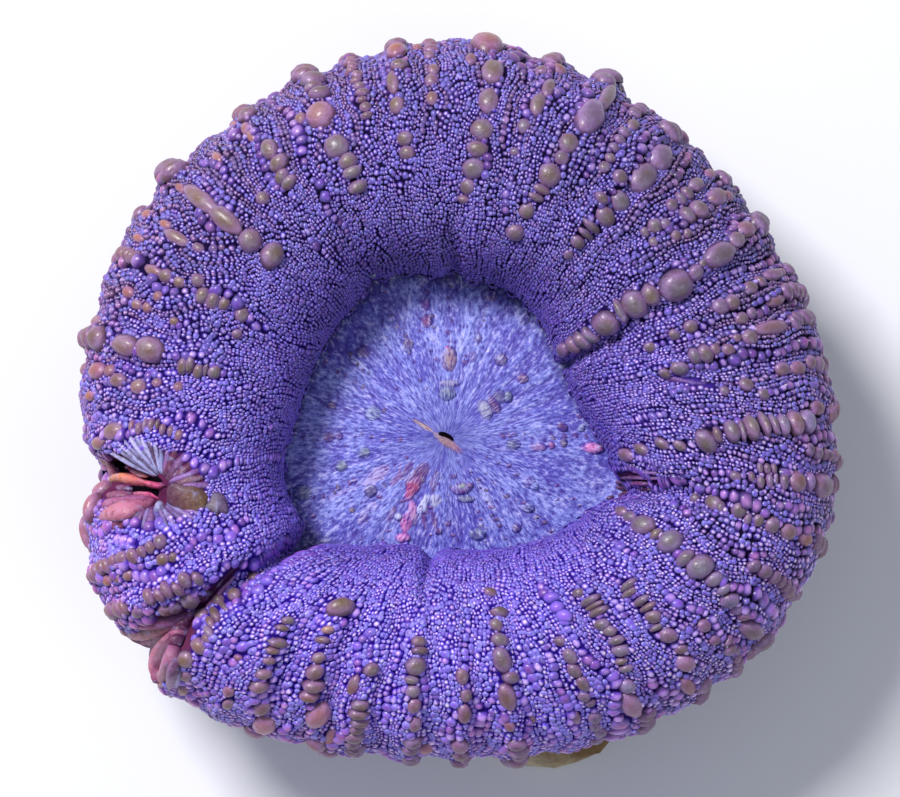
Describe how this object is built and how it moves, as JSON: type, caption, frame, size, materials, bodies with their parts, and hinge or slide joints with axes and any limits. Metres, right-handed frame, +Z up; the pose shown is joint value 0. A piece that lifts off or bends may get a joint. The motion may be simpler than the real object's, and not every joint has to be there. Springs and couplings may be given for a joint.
{
  "type": "solitary fleshy coral",
  "caption": "Inflated ring of beaded flesh round a sunken oral disc with a slit mouth, seated on a short stony cup that is cut flat underneath.",
  "frame": {"origin": "middle of the underside of the box round the coral, on the plane of the flat cut", "axes": "+Z up from the cut to the mouth; seen from above, +X to the right, the widest way across, and +Y away from the viewer"},
  "size_m": [0.066, 0.0641, 0.0257],
  "materials": {
    "flesh": "wet, soft, finely beaded flesh",
    "skeleton": "rough chalky stone with encrusting growth"
  },
  "bodies": {
    "root": {"polyp": "flesh", "skeleton": "skeleton"}
  },
  "joints": []
}
